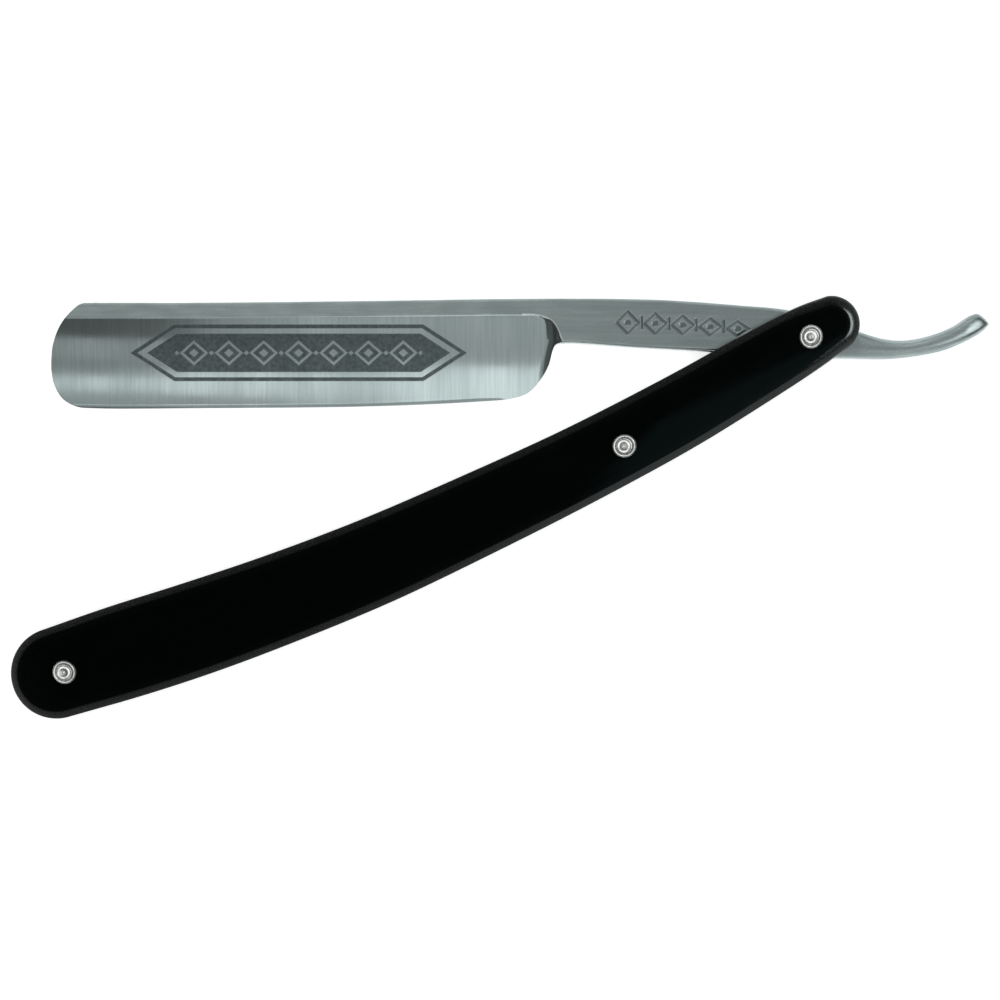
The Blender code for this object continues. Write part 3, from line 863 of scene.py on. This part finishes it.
def etched_panel(tree, place):
    """Give 1 where the etched panel is dark: a long pointed frame, and the ground behind the lozenges."""
    east, north, facing = add(tree, "SeparateXYZ", (place,)).node.outputs
    x = add(tree, "Math", (east, 1 / MM, -PANEL_CENTRE[0]), operation="MULTIPLY_ADD")
    y = add(tree, "Math", (north, 1 / MM, -PANEL_CENTRE[1]), operation="MULTIPLY_ADD")
    across = add(tree, "Math", (x,), operation="ABSOLUTE")
    up = add(tree, "Math", (y,), operation="ABSOLUTE")
    # How far outside the frame a place is: past its long sides, or past its slanted ends.
    point = PANEL_HALF_LENGTH - PANEL_HALF_STRAIGHT
    slant = math.hypot(PANEL_HALF_HEIGHT, point)
    past_side = add(tree, "Math", (up, PANEL_HALF_HEIGHT), operation="SUBTRACT")
    past_tip = add(tree, "Math", (across, PANEL_HALF_LENGTH), operation="SUBTRACT")
    past_tip = add(tree, "Math", (past_tip, PANEL_HALF_HEIGHT / slant), operation="MULTIPLY")
    past_slant = add(tree, "Math", (up, point / slant, past_tip), operation="MULTIPLY_ADD")
    outside = add(tree, "Math", (past_side, past_slant), operation="MAXIMUM")
    outline = stripe(tree, outside, -PANEL_OUTLINE / 2, PANEL_OUTLINE / 2)
    ground = add(tree, "MapRange", (outside, PANEL_SOFTNESS - PANEL_BORDER, -PANEL_SOFTNESS - PANEL_BORDER))
    # Lozenges stand bright on the dark ground, one every PANEL_PITCH, each round a smaller dark one.
    from_middle = add(tree, "Math", (x, PANEL_PITCH / 2), operation="PINGPONG")
    lozenge = add(tree, "Math", (up, LOZENGE_SLANT, from_middle), operation="MULTIPLY_ADD")
    ring = stripe(tree, lozenge, LOZENGE_HALF, LOZENGE_LINE_HALF)
    seed = add(tree, "MapRange", (lozenge, *SEED_EDGE))
    from_bead = add(tree, "Math", (PANEL_PITCH / 2, from_middle), operation="SUBTRACT")
    between = add(tree, "Math", (up, LOZENGE_SLANT, from_bead), operation="MULTIPLY_ADD")
    bead = add(tree, "MapRange", (between, *BEAD_EDGE))
    figure = add(tree, "Math", (ring, seed), operation="MAXIMUM")
    figure = add(tree, "Math", (figure, bead), operation="MAXIMUM")
    row = add(tree, "MapRange", (across, *ROW_EDGE))
    figure = add(tree, "Math", (figure, row), operation="MULTIPLY")
    # The figures keep a quarter of the etch.
    left = add(tree, "Math", (figure, -0.75, 1.0), operation="MULTIPLY_ADD")
    filled = add(tree, "Math", (ground, left), operation="MULTIPLY")
    etched = add(tree, "Math", (outline, filled), operation="MAXIMUM")
    # The acid bit unevenly, so the dark ground is a little patchy.
    bite = add(tree, "MapRange", (grain(tree, place, (1.6, 1.6, 1.6), 4.0, 0.6), 0.25, 0.75, 0.72, 1.0))
    dark = add(tree, "Math", (etched, bite), operation="MULTIPLY")
    # Only the front of the blade is etched.
    front = add(tree, "Math", (facing, 0.0), operation="GREATER_THAN")
    return add(tree, "Math", (dark, front), operation="MULTIPLY")


def stripe(tree, value, centre, half_width):
    """Give 1 within half_width of centre, with soft edges."""
    off = add(tree, "Math", (value, centre), operation="SUBTRACT")
    off = add(tree, "Math", (off,), operation="ABSOLUTE")
    return add(tree, "MapRange", (off, half_width + PANEL_SOFTNESS, half_width - PANEL_SOFTNESS))


def buffed_black_plastic():
    """Black cast plastic, buffed on its faces: a deep wet gloss with hairline marks. The sawn and sanded
    bevels and inner faces are duller and a little grey, with specks where the sanding dust stays."""
    material, tree, shader = new_material("buffed_black_plastic")
    place = add(tree, "TexCoord", output="Object")
    turned_back = {"Vector": place, "Angle": -HANDLE_SLANT}
    lengthwise = add(tree, "VectorRotate", turned_back, rotation_type="Z_AXIS")
    sanded = add(tree, "Attribute", output="Fac", attribute_name="sanded")
    haze = grain(tree, lengthwise, (0.12, 0.2, 0.2), 3.0, 0.55)
    # Buffing marks run along the handle, drawn 0.25 mm apart.
    marks = grain(tree, lengthwise, (0.25, 4.0, 4.0), 3.0, 0.6)
    # Sanding grit leaves specks of about 0.2 mm.
    specks = grain(tree, lengthwise, (4.0, 5.0, 5.0), 3.0, 0.65)
    hazy = add(tree, "MapRange", (haze, 0.35, 0.7, 0.06, 0.12))
    marked = add(tree, "MapRange", (marks, 0.45, 0.75, 0.0, 0.04))
    buffed = add(tree, "Math", (hazy, marked), operation="ADD")
    rubbed = add(tree, "MapRange", (specks, 0.35, 0.65, 0.2, 0.42))
    roughness = add(tree, "Mix", {0: sanded, 2: buffed, 3: rubbed})
    dusty = add(tree, "MapRange", (specks, 0.5, 0.72))
    dust = add(tree, "Mix", {0: dusty, 6: linear("#0b0d0c"), 7: linear("#262a29")}, 2, data_type="RGBA")
    colour = add(tree, "Mix", {0: sanded, 6: linear("#030404"), 7: dust}, 2, data_type="RGBA")
    hairlines = add(tree, "Math", (marks, 0.15), operation="MULTIPLY")
    height = add(tree, "Mix", {0: sanded, 2: hairlines, 3: specks})
    bump = add(tree, "Bump", {"Strength": 0.5, "Distance": 0.006 * MM, "Height": height})
    shader.inputs["IOR"].default_value = 1.5
    shader.inputs["Specular IOR Level"].default_value = 0.4
    tree.links.new(colour, shader.inputs["Base Color"])
    tree.links.new(roughness, shader.inputs["Roughness"])
    tree.links.new(bump, shader.inputs["Normal"])
    return material


def peened_nickel_silver():
    """Nickel silver, stamped and peened: a bright, faintly warm white metal with soft hammer dents."""
    material, tree, shader = new_material("peened_nickel_silver")
    place = add(tree, "TexCoord", output="Object")
    # Hammer dents about 0.8 mm wide.
    dents = grain(tree, place, (1.2, 1.2, 1.2), 1.0, 0.4)
    tarnish = grain(tree, place, (1.0, 1.0, 1.0), 4.0, 0.6)
    dulled = add(tree, "MapRange", (tarnish, 0.45, 0.75, 0.0, 0.8))
    colour = add(tree, "Mix", {0: dulled, 6: linear("#dfe1df"), 7: linear("#a5a7a4")}, 2, data_type="RGBA")
    roughness = add(tree, "MapRange", (tarnish, 0.35, 0.75, 0.3, 0.42))
    bump = add(tree, "Bump", {"Strength": 0.5, "Distance": 0.03 * MM, "Height": dents})
    shader.inputs["Metallic"].default_value = 1.0
    tree.links.new(colour, shader.inputs["Base Color"])
    tree.links.new(roughness, shader.inputs["Roughness"])
    tree.links.new(bump, shader.inputs["Normal"])
    return material


def shim_brass():
    """Brass shim stock, punched: a dull yellow edge between tang and scale."""
    material, tree, shader = new_material("shim_brass")
    place = add(tree, "TexCoord", output="Object")
    stain = grain(tree, place, (1.5, 1.5, 1.5), 4.0, 0.6)
    stained = add(tree, "MapRange", (stain, 0.4, 0.7))
    colour = add(tree, "Mix", {0: stained, 6: linear("#c3a163"), 7: linear("#8a6f3f")}, 2, data_type="RGBA")
    roughness = add(tree, "MapRange", (stain, 0.3, 0.7, 0.28, 0.45))
    shader.inputs["Metallic"].default_value = 1.0
    tree.links.new(colour, shader.inputs["Base Color"])
    tree.links.new(roughness, shader.inputs["Roughness"])
    return material


def opal_table():
    """Opal acrylic table, lit from below: an even, matt white that keeps the shadows faint."""
    material, tree, shader = new_material("opal_acrylic")
    place = add(tree, "TexCoord", output="Object")
    cloud = grain(tree, place, (0.02, 0.02, 0.02), 2.0)
    colour = add(tree, "Mix", {0: cloud, 6: linear("#f4f5f5"), 7: linear("#fafafa")}, 2, data_type="RGBA")
    tree.links.new(colour, shader.inputs["Base Color"])
    shader.inputs["Roughness"].default_value = 0.9
    shader.inputs["Specular IOR Level"].default_value = 0.1
    shader.inputs["Emission Color"].default_value = linear("#ffffff")
    shader.inputs["Emission Strength"].default_value = TABLE_GLOW
    return material


# ================================================================ stage
def make_floor():
    """Lay a wide pale table top under the razor."""
    mesh = bpy.data.meshes.new("table_top")
    corners = [(-TABLE_HALF, -TABLE_HALF, 0), (TABLE_HALF, -TABLE_HALF, 0),
               (TABLE_HALF, TABLE_HALF, 0), (-TABLE_HALF, TABLE_HALF, 0)]
    mesh.from_pydata(corners, [], [(0, 1, 2, 3)])
    floor = bpy.data.objects.new("table_top", mesh)
    bpy.context.scene.collection.objects.link(floor)
    floor.location.z = cad_low.z
    mesh.materials.append(opal_table())
    return floor


def make_camera():
    """Look straight down on the middle of the razor with a long lens."""
    data = bpy.data.cameras.new("camera")
    data.lens = LENS
    data.sensor_width = SENSOR
    camera = bpy.data.objects.new("camera", data)
    bpy.context.scene.collection.objects.link(camera)
    camera.location = CAMERA_PLACE
    bpy.context.scene.camera = camera


def make_card(name, place_mm, size_mm, radiance, lit, tint="#ffffff", level=True):
    """Hang a light card at a place measured from the table under the camera, for the given pieces only."""
    width, depth = (length * MM for length in size_mm)
    data = bpy.data.lights.new(name, "AREA")
    data.shape = "RECTANGLE"
    data.size, data.size_y = width, depth
    data.energy = radiance * math.pi * width * depth
    data.color = linear(tint)[:3]
    card = bpy.data.objects.new(name, data)
    bpy.context.scene.collection.objects.link(card)
    offset = Vector(place_mm) * MM
    card.location = Vector((CAMERA_PLACE.x, CAMERA_PLACE.y, 0)) + offset
    if not level:
        card.rotation_euler = offset.to_track_quat("Z", "X").to_euler()
    card.visible_camera = False
    group = bpy.data.collections.new(f"{name}_group")
    for thing in lit:
        group.objects.link(thing)
    card.light_linking.receiver_collection = group


def light_world():
    """A dim room: dark overhead where the camera looks through, dimmer on the left, and a glow low down."""
    world = bpy.data.worlds.new("studio")
    bpy.context.scene.world = world
    world.use_nodes = True
    tree = world.node_tree
    direction = add(tree, "TexCoord", output="Generated")
    right, back, up = add(tree, "SeparateXYZ", (direction,)).node.outputs
    overhead = add(tree, "MapRange", (up, *ROOM_OVERHEAD))
    flagged = add(tree, "MapRange", (right, *ROOM_LEFT))
    low_down = add(tree, "MapRange", (up, *ROOM_LOW))
    toward_front = add(tree, "Math", (right, back), operation="SUBTRACT")
    front = add(tree, "MapRange", (toward_front, *ROOM_FRONT))
    glow = add(tree, "Math", (low_down, front), operation="MULTIPLY")
    shade = add(tree, "Math", (overhead, flagged, glow), operation="MULTIPLY_ADD")
    background = tree.nodes["Background"]
    background.inputs["Color"].default_value = linear("#ffffff")
    tree.links.new(shade, background.inputs["Strength"])


def light_stage(blade, scales, metal, floor):
    """Light each finish the way that shows it: broad bands for the ground steel, one card for the bevels."""
    light_world()
    for name, (place, size, radiance) in STEEL_CARDS.items():
        make_card(name, (*place, CARD_HEIGHT), size, radiance, [blade])
    for name, (place, size, radiance) in STEEL_WALLS.items():
        make_card(name, place, size, radiance, [blade], level=False)
    make_card("bevel_card", BEVEL_CARD_PLACE, BEVEL_CARD_SIZE, BEVEL_CARD_RADIANCE, scales,
              BEVEL_CARD_TINT, level=False)
    make_card("glint_box", GLINT_BOX_PLACE, GLINT_BOX_SIZE, GLINT_BOX_RADIANCE, scales,
              GLINT_BOX_TINT, level=False)
    make_card("sheen_card", SHEEN_CARD_PLACE, SHEEN_CARD_SIZE, SHEEN_CARD_RADIANCE, scales, SHEEN_CARD_TINT)
    make_card("pin_card", PIN_CARD_PLACE, PIN_CARD_SIZE, PIN_CARD_RADIANCE, metal)
    make_card("table_light", TABLE_LIGHT_PLACE, TABLE_LIGHT_SIZE, TABLE_LIGHT_RADIANCE, [floor])


# ================================================================ assembly
def finish_piece(thing, material, body):
    """Give a piece its finish and let it move with its body."""
    thing.data.materials.clear()
    thing.data.materials.append(material)
    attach(thing, body)


def main():
    steel = ground_steel()
    plastic = buffed_black_plastic()
    nickel = peened_nickel_silver()
    brass = shim_brass()
    blade = make_blade()
    finish_piece(blade, steel, "blade")
    scales = [make_scale(side, facing) for side, facing in SIDES.items()] + [make_wedge()]
    for scale in scales:
        finish_piece(scale, plastic, "handle")
    metal = [make_cup_washer(pin, side, facing) for side, facing in SIDES.items() for pin in PINS]
    metal += [make_pin(pin) for pin in PINS]
    for thing in metal:
        finish_piece(thing, nickel, "handle")
    for side in SIDES:
        finish_piece(make_tang_washer(side), brass, "handle")
    floor = make_floor()
    make_camera()
    light_stage(blade, scales, metal, floor)
    bpy.context.scene.view_settings.view_transform = "Standard"


blade_top = smooth_curve(BLADE_TOP)
blade_bottom = smooth_curve(BLADE_BOTTOM)
blade_crease = smooth_curve(CREASE)
shoulder_side = blade_crease[blade_crease[:, 0] > HEEL_TURN]
main()
